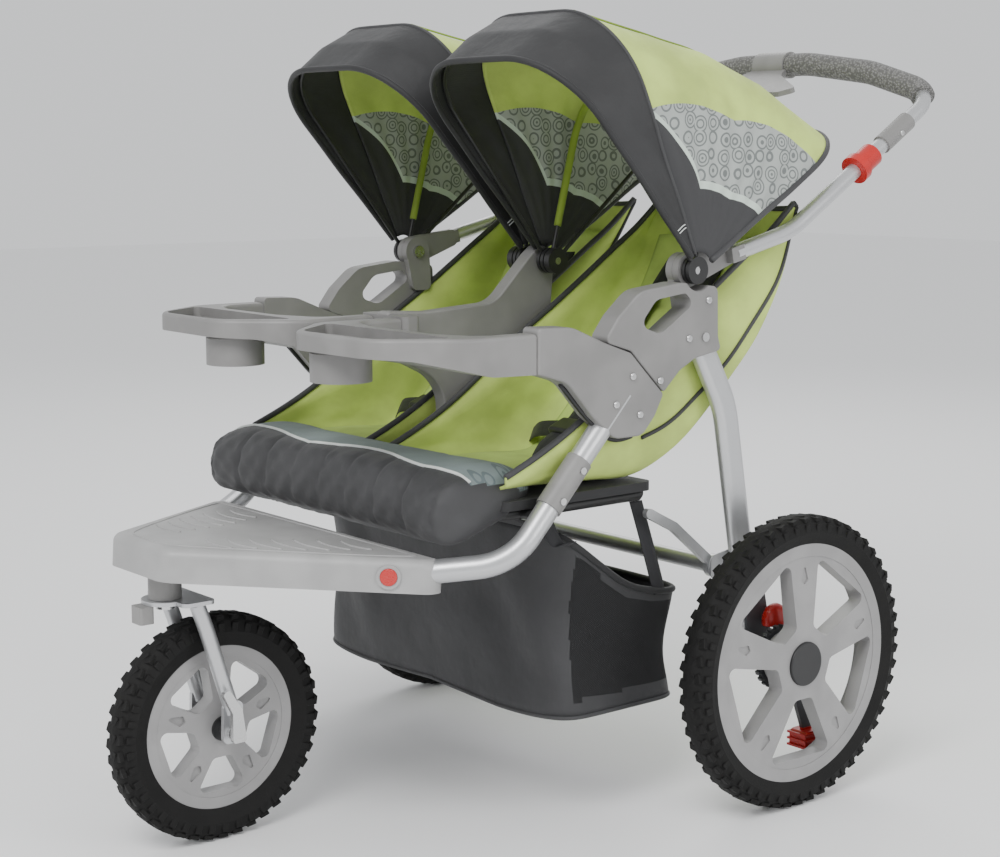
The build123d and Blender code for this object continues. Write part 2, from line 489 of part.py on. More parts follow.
# ---- Rear frame ---------------------------------------------------------------------------------------
leg_path = FilletPolyline((FRAME_X, *LEG_PIVOT), (FRAME_X, *LEG_KNEE), (FRAME_X, 0, REAR_TYRE_R), radius=140)
leg_start = Plane(origin=leg_path @ 0, x_dir=(1, 0, 0), z_dir=leg_path % 0)
oval = Rot(0, 0, 90) * (SlotOverall(LEG_DEPTH, LEG_W) - SlotOverall(LEG_DEPTH - 4, LEG_W - 4))
leg = sweep(leg_start * oval, leg_path)
eye = disc(LEG_PIVOT, LEG_DEPTH / 2, FRAME_X - LEG_W / 2, FRAME_X + LEG_W / 2)
leg = leg + eye - pin_cut
leg -= disc(CROSS_TUBE, CROSS_TUBE_R + 14, FRAME_X - 30, FRAME_X - LEG_W / 2)
FOOT_X = FRAME_X + LEG_W / 2
SHOE_TOP = 230
leg -= Pos(FRAME_X, 0, SHOE_TOP / 2 + 0.15) * Box(60, 200, SHOE_TOP)
save("rear_legs", *both(leg))

shoe = outline([(-26, 288), (8, 288), (26, 214), (22, 178), (-14, 176), (-24, 200)], [8, 8, 14, 14, 14, 14])
shoe_solid = slab(shoe, FRAME_X - LEG_W / 2 - 4, FRAME_X + LEG_W / 2 + 4)
shoe_solid -= slab(outline([(-40, 320), (40, 320), (40, SHOE_TOP), (-40, SHOE_TOP)], 1), FRAME_X - LEG_W / 2 - 0.3,
                   FRAME_X + LEG_W / 2 + 0.3)
shoe_solid += disc((0, REAR_TYRE_R), 18, FOOT_X + 4, WHEEL_X + GEAR_IN - 1)
shoe_solid -= disc((0, REAR_TYRE_R), AXLE_R + 0.02, 250, 400)
stub = disc((0, REAR_TYRE_R), AXLE_R, FRAME_X - 16, WHEEL_X + REAR_FACE - 7)
stub += disc((0, REAR_TYRE_R), 10, FRAME_X - 20, FRAME_X - LEG_W / 2 - 4 - 0.1)
save("rear_axles", *both(stub))
CROSS_END = FRAME_X - LEG_W / 2 - 0.2
cross = tube([(-CROSS_END + 2, *CROSS_TUBE), (CROSS_END - 2, *CROSS_TUBE)], 0, CROSS_TUBE_R, TUBE_WALL)
tab = outline([(CROSS_TUBE[0] - 14, CROSS_TUBE[1] - 16), (CROSS_TUBE[0] + 52, CROSS_TUBE[1] - 22),
               (CROSS_TUBE[0] + 48, CROSS_TUBE[1] + 26), (CROSS_TUBE[0] - 14, CROSS_TUBE[1] + 16)], 8)
save("rear_cross_tube", cross + slab(tab, CROSS_END - 2, CROSS_END) + slab(tab, -CROSS_END, -CROSS_END + 2))

BRACE_UP = (RAIL_REAR - 2, rail_z - RAIL_R - 14)
BRACE_KNEE = (-134, 386)
half_brace = 6.5
bar = disc(CROSS_TUBE, CROSS_TUBE_R + 5, BRACE_X - BRACE_W / 2, BRACE_X + BRACE_W / 2)
for p, q in ((CROSS_TUBE, BRACE_KNEE), (BRACE_KNEE, BRACE_UP)):
    link = make_hull([*(Pos(*p) * Circle(half_brace)).edges(), *(Pos(*q) * Circle(half_brace)).edges()])
    bar += slab(link, BRACE_X - BRACE_W / 2, BRACE_X + BRACE_W / 2)
bar -= disc(CROSS_TUBE, CROSS_TUBE_R + RUNNING, 270, 300)
save("braces", *both(bar))

# ---- Brakes -------------------------------------------------------------------------------------------
BRAKE_PIVOT = (58, 172)
ear_plate = outline([(10, 186), (40, 196), (72, 184), (70, 158), (44, 158), (16, 170)], 8)
arm_line = outline([(50, 184), (70, 184), (92, 100), (98, 70), (84, 64), (66, 110)], [8, 8, 20, 5, 5, 20])
pedal_x = (FOOT_X + 12, FOOT_X + 18)
pad = Pos(sum(pedal_x) / 2, 88, 62) * Box(30, 34, 26)
pad = fillet(pad.edges().filter_by(Axis.X), 8)
for k in range(3):
    rib = Pos(sum(pedal_x) / 2, 88, 62 - 9 + 9 * k) * (Box(34, 40, 3) - Box(30, 34, 3))
    pad += rib
pedal = slab(arm_line, *pedal_x) - disc(BRAKE_PIVOT, PIN_R + RUNNING, 300, 360)
pedal += pad
brake_pin = disc(BRAKE_PIVOT, PIN_R, FOOT_X + 4, pedal_x[1] + 3) + disc(BRAKE_PIVOT, 7, pedal_x[1] + 0.3,
                                                                      pedal_x[1] + 3)
hanger = slab(ear_plate, FOOT_X + 3, FOOT_X + 9)
save("axle_brackets", *both(shoe_solid + hanger + brake_pin))
save("brake_pedal_left", pedal)
save("brake_pedal_right", mirrored(pedal))

# ---- Handle -------------------------------------------------------------------------------------------
corner_y, corner_z = HANDLE_CORNER
half_bar = [(FRAME_X, corner_y, corner_z), (190, corner_y, corner_z + 36), (70, corner_y, HANDLE_TOP_Z)]
side_run = [(FRAME_X, *along(HUB, HANDLE_KNEE, 0.42)), (FRAME_X, *HANDLE_KNEE)]
handle_points = side_run + half_bar + [(-x, y, z) for x, y, z in reversed(side_run + half_bar)]
handle_radii = [150, 52, 160, 200, 200, 160, 52, 150]
handle = tube(handle_points, handle_radii, HANDLE_R, TUBE_WALL)
tube_foot = along(HUB, HANDLE_KNEE, 0.40)
end_shape = make_hull([*(Pos(*HUB) * Circle(EAR_R)).edges(), *(Pos(*tube_foot) * Circle(13)).edges()])
end_plate = slab(end_shape, *STACK["end"]) - disc(HUB, HUB_PIN_R + RUNNING, 280, 340)
plug_path = tube([(FRAME_X, *along(HUB, HANDLE_KNEE, 0.42)), (FRAME_X, *along(HUB, HANDLE_KNEE, 0.62))], 0,
                 HANDLE_R - TUBE_WALL)
tang = slab(Pos(*along(HUB, HANDLE_KNEE, 0.42)) * Rot(0, 0, 13) * Rectangle(24, 20), STACK["end"][0],
            FRAME_X + HANDLE_R - 1)
tube_bore = tube([(FRAME_X, *along(HUB, HANDLE_KNEE, 0.42)), (FRAME_X, *along(HUB, HANDLE_KNEE, 0.7))], 0,
                 HANDLE_R)
tang -= tube_bore
end_fitting = end_plate - tube_bore + tang + plug_path
save("handle_ends", *both(end_fitting))


def bar_part(x0, x1, r, hole):
    """A sleeve that follows the crossbar between x0 and x1."""
    path = handle_path.trim(x0, x1)
    return sweep(Plane(origin=path @ 0, z_dir=path % 0) * (Circle(r) - Circle(hole)), path)


handle_path = FilletPolyline(*handle_points, radius=handle_radii)
length = handle_path.length
corner_share = sum((Vector(*q) - Vector(*p)).length for p, q in zip(handle_points[:2], handle_points[1:3]))
grip_start = (corner_share - 6) / length
console_edge = 0.5 - (CONSOLE_W / 2 + 1) / length
grip = bar_part(grip_start, console_edge, GRIP_R, HANDLE_R + GAP / 8)
save("handle_grips", *both(grip))
console = bar_part(0.5 - CONSOLE_W / 2 / length, 0.5 + CONSOLE_W / 2 / length, GRIP_R + 3, HANDLE_R + GAP / 8)
wing_plate = make_face(FilletPolyline((-CONSOLE_W / 2, corner_y - 6), (CONSOLE_W / 2, corner_y - 6),
                                      (CONSOLE_W / 2 + 12, 322), (118, 268), (96, 252), (-96, 252),
                                      (-118, 268), (-CONSOLE_W / 2 - 12, 322),
                                      radius=[2, 2, 34, 6, 6, 6, 6, 34], close=True))
tray_top = extrude(wing_plate, amount=8)
tray_top = Pos(0, corner_y, HANDLE_TOP_Z - 2) * Rot(24, 0, 0) * Pos(0, -corner_y, -6) * tray_top
tray_top -= tube([(-70, corner_y, HANDLE_TOP_Z), (70, corner_y, HANDLE_TOP_Z)], 0, HANDLE_R + GAP / 8)
grip_room = tube([(CONSOLE_W / 2, corner_y, HANDLE_TOP_Z), (70, corner_y, HANDLE_TOP_Z)], 0, GRIP_R + GAP / 4)
tray_top -= grip_room + mirrored(grip_room)
save("handle_console", console + tray_top)

sleeve_in = tube([(FRAME_X, *along(HANDLE_KNEE, HANDLE_CORNER, 0.62)), (FRAME_X, *along(HANDLE_KNEE, HANDLE_CORNER, 0.80))], 0,
                 HANDLE_R + 2.6, 2.6 - GAP / 8)
COLLAR = (0.43, 0.55)
COLLAR_TRAVEL = 12
collar = tube([(FRAME_X, *along(HANDLE_KNEE, HANDLE_CORNER, COLLAR[0])), (FRAME_X, *along(HANDLE_KNEE, HANDLE_CORNER, COLLAR[1]))],
              0, 17, 17 - HANDLE_R - RUNNING)
flare = tube([(FRAME_X, *along(HANDLE_KNEE, HANDLE_CORNER, COLLAR[0])),
              (FRAME_X, *along(HANDLE_KNEE, HANDLE_CORNER, COLLAR[0] + 0.035))], 0, 21, 21 - HANDLE_R - RUNNING)
save("fold_collar_left", collar + flare)
save("fold_collar_right", mirrored(collar + flare))
BUTTON_AT = along(HANDLE_KNEE, HANDLE_CORNER, 0.71)
BUTTON_R = 4
button_hole = disc(BUTTON_AT, BUTTON_R + RUNNING, FRAME_X, FRAME_X + 30)
sleeve_in -= button_hole
button = disc(BUTTON_AT, BUTTON_R, FRAME_X + HANDLE_R - TUBE_WALL - 1, FRAME_X + HANDLE_R + 5)
button = fillet(button.faces().sort_by(Axis.X)[-1].edges(), 1.6)
save("handle_tube", handle - button_hole - mirrored(button_hole))
save("handle_sleeves", *both(sleeve_in))
save("snap_button_left", button)
save("snap_button_right", mirrored(button))

# ---- Canopies -----------------------------------------------------------------------------------------


def reach(angle, p, q):
    """Distance from the hub, at this angle, to the line through the Y, Z points p and q."""
    a = radians(angle)
    ux, uz = -cos(a), sin(a)
    px, pz, dx, dz = p[0] - HUB[0], p[1] - HUB[1], q[0] - p[0], q[1] - p[1]
    return (px * dz - pz * dx) / (ux * dz - uz * dx)


def bow(r, key, angle, radius):
    """Wire hoop between a canopy's two hubs: an inverted U in the plane through the hub axis."""
    x_out = sum(STACK[key]) / 2
    x_in = 2 * BAY_X - x_out
    start = polar(angle, EAR_R - 5)
    top = polar(angle, r)
    path = FilletPolyline((x_in, *start), (x_in, *top), (x_out, *top), (x_out, *start), radius=radius)
    return sweep(Plane(origin=path @ 0, z_dir=path % 0) * Circle(WIRE_R), path)


def hoop_face(r, angle, inset, low):
    """Filled inverted U in the plane through the hub axis at this angle."""
    half = CANOPY_W / 2 - inset
    corner = CANOPY_ROUND - inset
    face = make_face(FilletPolyline((-half, low), (-half, r - inset), (half, r - inset), (half, low),
                                    radius=[0.5, corner, corner, 0.5], close=True))
    a = radians(angle)
    return Plane(origin=(BAY_X, *HUB), x_dir=(1, 0, 0), z_dir=(0, -sin(a), -cos(a))) * face


LOW_R = EAR_R                # the fabric starts just outside the hub discs
hub_axis = Axis((0, *HUB), (1, 0, 0))
visor = revolve(hoop_face(CANOPY_R, VISOR_TO, 0, LOW_R), hub_axis, VISOR_TO - VISOR_FROM)
visor -= revolve(hoop_face(CANOPY_R, VISOR_TO + 2, CANOPY_SKIN, LOW_R - 12), hub_axis,
                 VISOR_TO - VISOR_FROM + 4)
ROOF_FROM = VISOR_TO + 0.4


def roof_body(inset):
    """Solid under the roof's top line, narrower by inset on each side and longer at both ends."""
    front, middle, rear = polar(ROOF_FROM, CANOPY_R), polar(*ROOF_MID), polar(*ROOF_REAR)
    low = LOW_R
    if inset:
        front, rear = [polar(angle, reach(angle, middle, end)) for angle, end in
                       ((ROOF_FROM - 3, front), (ROOF_REAR[0] + 3, rear))]
        low = 2
    lows = [polar(ROOF_REAR[0] + 2.6 * inset, low), polar(ROOF_FROM - 2.6 * inset, low)]
    half = CANOPY_W / 2 - inset
    body = slab(make_face(Polyline(front, middle, rear, *lows, close=True)), BAY_X - half, BAY_X + half)
    top = [e for e in body.edges().filter_by(Axis.X, reverse=True)
           if (Vector(0, *HUB) - Vector(0, e.center().Y, e.center().Z)).length > 240]
    return fillet(top, CANOPY_ROUND - 5 - inset)


roof = roof_body(0) - Pos(0, 0, -CANOPY_SKIN * 1.05) * roof_body(CANOPY_SKIN)
SEAT_OFF = CANOPY_SKIN * 1.1 + WIRE_R + GAP + 0.6      # roof's top line to a wire's middle
front_r = CANOPY_R - CANOPY_SKIN - WIRE_R - GAP
mid_r = ROOF_MID[1] - SEAT_OFF
REAR_BOW = 140
rear_r = reach(REAR_BOW, polar(*ROOF_MID), polar(*ROOF_REAR)) - SEAT_OFF * 1.1
FRONT_BOW = VISOR_FROM + 3
rear_bow = bow(rear_r, "end", REAR_BOW, CANOPY_ROUND + 15)
rear_bow -= slab(offset(end_shape, amount=GAP), *STACK["end"])
rear_bow += disc(HUB, EAR_R - 4, *INNER_STACK["end"], HUB_PIN_R + RUNNING)
save("canopy_roofs", *both(roof))
save("canopy_rear_bows", *both(rear_bow))
front_bow = bow(front_r, "front", FRONT_BOW, CANOPY_ROUND - CANOPY_SKIN - WIRE_R - GAP)
mid_bow = bow(mid_r, "mid", ROOF_MID[0], CANOPY_ROUND + 15)
for key, hoop in (("front", front_bow), ("mid", mid_bow)):
    for place in (STACK[key], INNER_STACK[key]):
        hoop += disc(HUB, EAR_R - 4, *place, HUB_PIN_R + RUNNING)
    save(f"canopy_{key}_bow_left", hoop)
    save(f"canopy_{key}_bow_right", mirrored(hoop))
save("canopy_visor_left", visor)
save("canopy_visor_right", mirrored(visor))
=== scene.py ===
import bmesh
import bpy
from math import cos, pi, radians, sin, sqrt
from mathutils import Matrix, Vector


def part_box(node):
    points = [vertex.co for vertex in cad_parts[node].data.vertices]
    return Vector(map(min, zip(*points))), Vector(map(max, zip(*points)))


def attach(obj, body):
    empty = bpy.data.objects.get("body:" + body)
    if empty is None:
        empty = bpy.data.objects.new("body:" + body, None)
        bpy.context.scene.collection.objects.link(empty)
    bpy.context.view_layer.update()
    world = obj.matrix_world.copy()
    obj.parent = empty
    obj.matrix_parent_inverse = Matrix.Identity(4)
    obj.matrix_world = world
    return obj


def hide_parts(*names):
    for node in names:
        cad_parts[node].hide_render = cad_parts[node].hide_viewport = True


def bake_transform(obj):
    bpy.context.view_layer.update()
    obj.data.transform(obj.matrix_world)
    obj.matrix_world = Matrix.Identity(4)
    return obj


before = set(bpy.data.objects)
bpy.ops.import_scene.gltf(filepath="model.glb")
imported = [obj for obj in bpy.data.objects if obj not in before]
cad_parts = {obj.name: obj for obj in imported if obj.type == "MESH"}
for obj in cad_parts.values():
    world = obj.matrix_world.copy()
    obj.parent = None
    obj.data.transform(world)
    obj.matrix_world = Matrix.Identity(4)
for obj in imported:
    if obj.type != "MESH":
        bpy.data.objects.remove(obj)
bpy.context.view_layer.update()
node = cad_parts

# ---- Floor, light and camera --------------------------------------------------------------------------
# A plain pale studio floor under soft light from both sides. The camera stands at the front left corner
# of the stroller, a little above its handle.
AXLE_Y = 0.21875         # the rear axle, from the middle of the stroller

stage = bpy.data.meshes.new("floor")
bm = bmesh.new()
bmesh.ops.create_grid(bm, x_segments=1, y_segments=1, size=14)
bm.to_mesh(stage)
bm.free()
floor = bpy.data.objects.new("floor", stage)
bpy.context.scene.collection.objects.link(floor)
paper = bpy.data.materials.new("floor_paper")
paper.use_nodes = True
shader = paper.node_tree.nodes["Principled BSDF"]
shader.inputs["Base Color"].default_value = (0.93, 0.93, 0.93, 1)
shader.inputs["Roughness"].default_value = 0.7
stage.materials.append(paper)
world = bpy.data.worlds.new("soft_room")
world.use_nodes = True
world.node_tree.nodes["Background"].inputs[0].default_value = (0.97, 0.985, 1, 1)
world.node_tree.nodes["Background"].inputs[1].default_value = 0.92
bpy.context.scene.world = world
for name, place, size, power in (("key", (1.6, -2.6, 3.4), 1.8, 120), ("side", (3.6, 0.8, 1.6), 1.6, 34),
                                 ("rear", (-2.2, 2.4, 3.0), 2.2, 40)):
    lamp = bpy.data.lights.new(name, "AREA")
    lamp.size = size
    lamp.energy = power
    light = bpy.data.objects.new(name, lamp)
    light.location = place
    light.rotation_euler = (Vector((0, 0, 0.5)) - Vector(place)).to_track_quat("-Z", "Y").to_euler()
    bpy.context.scene.collection.objects.link(light)
camera = bpy.data.objects.new("camera", bpy.data.cameras.new("camera"))
turn, tilt = radians(50.79), radians(8.37)
looking = Vector((-sin(turn) * cos(tilt), cos(turn) * cos(tilt), -sin(tilt)))
camera.location = (2.054, -1.872 + AXLE_Y, 0.881)
camera.rotation_euler = looking.to_track_quat("-Z", "Y").to_euler()
camera.data.lens = 67.9
camera.data.sensor_width = 36
bpy.context.scene.collection.objects.link(camera)
bpy.context.scene.camera = camera

# ---- Wheels -------------------------------------------------------------------------------------------
# Black rubber tyres on grey moulded rims with five broad spokes. The tread is three rows of small blocks,
# vulcanised onto the tyre; the rims turn on steel axles behind round black caps.


class Wire:
    """A shader socket; sums and products of it add their own maths nodes."""

    def __init__(self, finish, socket):
        self.finish = finish
        self.socket = socket

    def maths(self, operation, *values):
        return self.finish.maths(operation, *values)

    def __add__(self, other):
        return self.maths("ADD", self, other)

    def __sub__(self, other):
        return self.maths("SUBTRACT", self, other)

    def __mul__(self, other):
        return self.maths("MULTIPLY", self, other)

    def __rsub__(self, other):
        return self.maths("SUBTRACT", other, self)

    def __lt__(self, other):
        return self.maths("LESS_THAN", self, other)

    def __gt__(self, other):
        return self.maths("GREATER_THAN", self, other)

    __radd__ = __add__
    __rmul__ = __mul__


class Finish:
    """One material. Fixed values go on the shader's own sockets; patterns are added after."""

    def __init__(self, name, colour, roughness, **fixed):
        self.material = bpy.data.materials.new(name)
        self.material.use_nodes = True
        self.tree = self.material.node_tree
        self.shader = self.tree.nodes["Principled BSDF"]
        self.shader.inputs["Base Color"].default_value = (*colour, 1)
        self.shader.inputs["Roughness"].default_value = roughness
        for key, value in fixed.items():
            self.shader.inputs[key.replace("_", " ")].default_value = value

    def add(self, kind, settings, sockets, output=0):
        made = self.tree.nodes.new("ShaderNode" + kind)
        for key, value in settings.items():
            setattr(made, key, value)
        for key, value in sockets.items():
            if isinstance(value, Wire):
                self.tree.links.new(value.socket, made.inputs[key])
            else:
                made.inputs[key].default_value = value
        return Wire(self, made.outputs[output])

    def maths(self, operation, *values):
        return self.add("Math", {"operation": operation}, dict(enumerate(values)))

    def place(self, scale=(1, 1, 1)):
        here = self.add("TexCoord", {}, {}, "Object")
        return self.add("Mapping", {}, {"Vector": here, "Scale": scale})

    def axis(self, letter, scale=(1, 1, 1)):
        return self.add("SeparateXYZ", {}, {0: self.place(scale)}, letter)

    def noise(self, size, detail=3, stretch=(1, 1, 1)):
        return self.add("TexNoise", {}, {"Vector": self.place(stretch), "Scale": 1 / size, "Detail": detail},
                        "Fac")

    def step(self, value, low, high):
        return self.add("MapRange", {"interpolation_type": "SMOOTHSTEP"},
                        {"Value": value, "From Min": low, "From Max": high})

    def mix(self, share, first, second):
        colours = [c if isinstance(c, Wire) else (*c, 1) for c in (first, second)]
        return self.add("Mix", {"data_type": "RGBA"}, {0: share, 6: colours[0], 7: colours[1]}, 2)

    def feed(self, socket, value):
        self.tree.links.new(value.socket, self.shader.inputs[socket])

    def bump(self, height, depth, strength=1):
        made = self.add("Bump", {}, {"Height": height, "Distance": depth, "Strength": strength})
        self.feed("Normal", made)


def new_piece(name, bm, body, slot, *finishes):
    """Turns a bmesh into a piece that rides on a body."""
    made = bpy.data.meshes.new(name)
    bm.to_mesh(made)
    bm.free()
    piece = bpy.data.objects.new(name, made)
    bpy.context.scene.collection.objects.link(piece)
    for finish in finishes:
        made.materials.append(finish.material)
    if body:
        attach(piece, body)
    return piece


def dress(finish, *names):
    """Gives CAD nodes a finish."""
    for name in names:
        for slot in node[name].material_slots:
            slot.material = finish.material


def moulded(name, colour, roughness, grain=0.0016, depth=0.00012):
    """Moulded plastic: fine spark-eroded grain, faint flow marks and slightly uneven gloss."""
    made = Finish(name, colour, roughness)
    cloud = made.noise(0.06, 2)
    dark = tuple(c * 0.86 for c in colour)
    made.feed("Base Color", made.mix(made.step(cloud, 0.35, 0.7), dark, colour))
    made.feed("Roughness", roughness - 0.06 + made.noise(0.02, 4) * 0.12)
    made.bump(made.noise(grain, 2), depth)
    return made


tyre_rubber = Finish("tyre_rubber", (0.006, 0.006, 0.006), 0.72, Specular_IOR_Level=0.25)
tyre_rubber.feed("Base Color", tyre_rubber.mix(tyre_rubber.noise(0.05), (0.004, 0.004, 0.004),
                                               (0.011, 0.0105, 0.010)))
tyre_rubber.bump(tyre_rubber.noise(0.003, 5), 0.0004)
rim_plastic = moulded("rim_plastic", (0.30, 0.295, 0.295), 0.38)
black_plastic = moulded("black_plastic", (0.015, 0.015, 0.016), 0.42)
dark_plastic = moulded("dark_plastic", (0.07, 0.072, 0.078), 0.5)
dress(tyre_rubber, "rear_tyre_left", "rear_tyre_right", "front_tyre")
dress(rim_plastic, "rear_rim_left", "rear_rim_right", "front_rim")
dress(black_plastic, "rear_hub_cap_left", "rear_hub_cap_right", "front_bearings")
dress(dark_plastic, "brake_disc_left", "brake_disc_right")


def tread(name, node_name, body, blocks):
    """Three rows of blocks and a row of shoulder lugs round a tyre's crown."""
    low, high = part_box(node_name)
    centre = (low + high) / 2
    radius, half = (high.z - low.z) / 2, (high.x - low.x) / 2
    bm = bmesh.new()
    rows = ((half * 0.55, radius - 0.0052, (0.011, 0.013, 0.006), 0.30),
            (half * 0.17, radius - 0.0022, (0.008, 0.014, 0.004), -0.45),
            (half * 0.90, radius - 0.0170, (0.004, 0.009, 0.013), 0.0))
    for side in (1, -1):
        for x, r, (wide, long, high_), skew in rows:
            cube = bmesh.ops.create_cube(bm, size=1)["verts"]
            bmesh.ops.scale(bm, vec=(wide, long, high_), verts=cube)
            turned = Matrix.Rotation(skew * side, 3, "Z")
            bmesh.ops.rotate(bm, cent=(0, 0, 0), matrix=turned, verts=cube)
            bmesh.ops.translate(bm, vec=(x * side, 0, r), verts=cube)
            shifted = Matrix.Rotation(pi / blocks if side < 0 else 0, 3, "X")
            bmesh.ops.rotate(bm, cent=(0, 0, 0), matrix=shifted, verts=cube)
    bmesh.ops.bevel(bm, geom=bm.edges[:], offset=0.0008, segments=1, affect="EDGES", profile=0.5,
                    material=-1)
    bmesh.ops.spin(bm, geom=bm.verts[:] + bm.edges[:] + bm.faces[:], cent=(0, 0, 0), axis=(1, 0, 0),
                   dvec=(0, 0, 0), angle=2 * pi * (blocks - 1) / blocks, steps=blocks - 1,
                   use_duplicate=True)
    bmesh.ops.translate(bm, vec=centre, verts=bm.verts)
    bmesh.ops.recalc_face_normals(bm, faces=bm.faces)
    return new_piece(name, bm, body, "tyre", tyre_rubber)


tread("rear_tread_left", "rear_tyre_left", "rear_wheel_left", 54)
tread("rear_tread_right", "rear_tyre_right", "rear_wheel_right", 54)
tread("front_tread", "front_tyre", "front_wheel", 42)

# ---- Fork, caster and footrest ------------------------------------------------------------------------
# The fork is painted steel tube, flattened round the axle and closed by a steel quick-release lever. The
# footrest is one light grey moulding screwed over the nose of the frame, with raised lines to grip shoes.


def metal(name, colour, roughness, metallic, grain):
    """Metal with a fine grain of scratches and uneven gloss."""
    made = Finish(name, colour, roughness, Metallic=metallic)
    made.feed("Roughness", roughness - 0.05 + made.noise(0.015, 4) * 0.14)
    made.bump(made.noise(grain, 3), 0.00006)
    return made


silver_paint = metal("silver_paint", (0.56, 0.565, 0.575), 0.33, 0.75, 0.0012)
bright_steel = metal("bright_steel", (0.62, 0.62, 0.62), 0.24, 1, 0.003)
footrest_plastic = moulded("footrest_plastic", (0.38, 0.378, 0.375), 0.42)
red_lens = Finish("red_lens", (0.5, 0.012, 0.01), 0.12, Coat_Weight=0.6)
facets = red_lens.add("TexVoronoi", {}, {"Vector": red_lens.place(), "Scale": 450}, "Distance")
red_lens.bump(facets, 0.0006)
dress(silver_paint, "fork", "front_frame_tubes", "rear_legs", "rear_cross_tube", "handle_tube", "braces")
dress(bright_steel, "caster_stem", "front_axle", "quick_release_lever", "bracket_rivets", "hinge_pins",
      "rear_axles", "snap_button_left", "snap_button_right")
dress(footrest_plastic, "footrest", "reflector_bezels")
dress(red_lens, "reflectors")


def rope(name, points, radius, body, slot, finish, closed=False):
    """A round bead or tube through points, made a mesh."""
    data = bpy.data.curves.new(name, "CURVE")
    data.dimensions = "3D"
    data.bevel_depth = radius
    data.bevel_resolution = 3
    data.resolution_u = 4
    data.use_fill_caps = True
    line = data.splines.new("NURBS")
    line.points.add(len(points) - 1)
    for spot, point in zip(line.points, points):
        spot.co = (*point, 1)
    line.order_u = 3
    line.use_endpoint_u = True
    line.use_cyclic_u = closed
    shape = bpy.data.objects.new(name, data)
    bpy.context.scene.collection.objects.link(shape)
    bpy.context.view_layer.update()
    solid = bpy.data.meshes.new_from_object(shape.evaluated_get(bpy.context.evaluated_depsgraph_get()))
    bpy.data.objects.remove(shape)
    bm = bmesh.new()
    bm.from_mesh(solid)
    for face in bm.faces:
        face.smooth = True
        face.material_index = 0
    bmesh.ops.remove_doubles(bm, verts=bm.verts, dist=0.00001)
    bmesh.ops.recalc_face_normals(bm, faces=bm.faces)
    solid.materials.clear()
    return new_piece(name, bm, body, slot, finish)


def footrest_top(x, back):
    """A point on the footrest's top, so far forward of its rear edge."""
    slope = radians(4)
    rear = -0.495 + AXLE_Y
    return (x, rear - back * cos(slope), 0.386 + back * sin(slope))


for side in (1, -1):
    for k in range(7):
        back = 0.045 + 0.026 * k
        wide = 0.085 - 0.007 * abs(k - 2.5)
        middle = 0.135 - 0.012 * k
        bead = [footrest_top(side * (middle + wide * (j / 4 - 0.5)), back + 0.008 * (1 - (j / 2 - 1) ** 2))
                for j in range(5)]
        rope(f"footrest_ridge_{k}_{'left' if side > 0 else 'right'}", bead, 0.0016, "frame",
             "light_plastic", footrest_plastic)
rope("footrest_rim_bead", [footrest_top(x, y) for x, y in (
    (0.225, 0.018), (0.235, 0.03), (0.062, 0.255), (0.03, 0.268), (-0.03, 0.268), (-0.062, 0.255),
    (-0.235, 0.03), (-0.225, 0.018))], 0.0013, "frame", "light_plastic", footrest_plastic, closed=True)

# ---- Frame, brackets, trays and handle ----------------------------------------------------------------
# Silver painted aluminium tube, joined by warm grey mouldings with a fine matt grain and held by domed
# steel rivets. The trays slide out of the brackets' arms; the handle has ribbed rubber grips.
bracket_plastic = moulded("bracket_plastic", (0.235, 0.23, 0.225), 0.44)
dress(bracket_plastic, "arm_brackets", "loop_brackets", "center_bracket", "tray_left", "tray_right",
      "handle_console", "handle_sleeves", "caster_housing", "swivel_lock", "frame_sleeves", "handle_ends")
red_plastic = moulded("red_plastic", (0.52, 0.018, 0.014), 0.28)
dress(red_plastic, "fold_collar_left", "fold_collar_right")
dress(dark_plastic, "axle_brackets")
pedal_finish = Finish("pedal", (0.45, 0.02, 0.015), 0.35)
pedal_finish.feed("Base Color", pedal_finish.mix(pedal_finish.axis("Z") > 0.078, (0.5, 0.018, 0.014),
                                                 (0.05, 0.05, 0.055)))
pedal_finish.bump(pedal_finish.noise(0.0015), 0.0001)
dress(pedal_finish, "brake_pedal_left", "brake_pedal_right")
for side, word in ((1, "left"), (-1, "right")):
    bm = bmesh.new()
    bmesh.ops.create_uvsphere(bm, u_segments=28, v_segments=14, radius=0.021)
    bmesh.ops.bisect_plane(bm, geom=bm.verts[:] + bm.edges[:] + bm.faces[:], plane_co=(0, 0, -0.006),
                           plane_no=(0, 0, -1), clear_outer=True)
    bmesh.ops.holes_fill(bm, edges=[e for e in bm.edges if e.is_boundary], sides=0)
    bmesh.ops.scale(bm, vec=(0.7, 1, 1.1), verts=bm.verts)
    bmesh.ops.translate(bm, vec=(side * 0.340, 0.012 + AXLE_Y, 0.246), verts=bm.verts)
    for face in bm.faces:
        face.smooth = True
    new_piece(f"brake_dome_{word}", bm, "rear_frame", "red_plastic", red_plastic)
grip_rubber = Finish("grip_rubber", (0.16, 0.155, 0.15), 0.66)
pips = grip_rubber.add("TexVoronoi", {"feature": "F1"}, {"Vector": grip_rubber.place(), "Scale": 260},
                       "Distance")
grip_rubber.bump(grip_rubber.step(pips, 0.15, 0.6) * -1 + 1, 0.0009)
# The base colour is painted shade and light: darker in the gaps between the pips, lighter on their raised
# tops.
grip_rubber.feed("Base Color", grip_rubber.mix(grip_rubber.step(pips, 0.2, 0.7), (0.22, 0.215, 0.21),
                                               (0.10, 0.098, 0.095)))
dress(grip_rubber, "handle_grips")
black_wire = Finish("black_wire", (0.03, 0.03, 0.03), 0.35, Metallic=0.3)
black_wire.bump(black_wire.noise(0.002), 0.00005)
dress(black_wire, "canopy_rear_bows", "canopy_front_bow_left", "canopy_front_bow_right",
      "canopy_mid_bow_left", "canopy_mid_bow_right", "seat_frame")
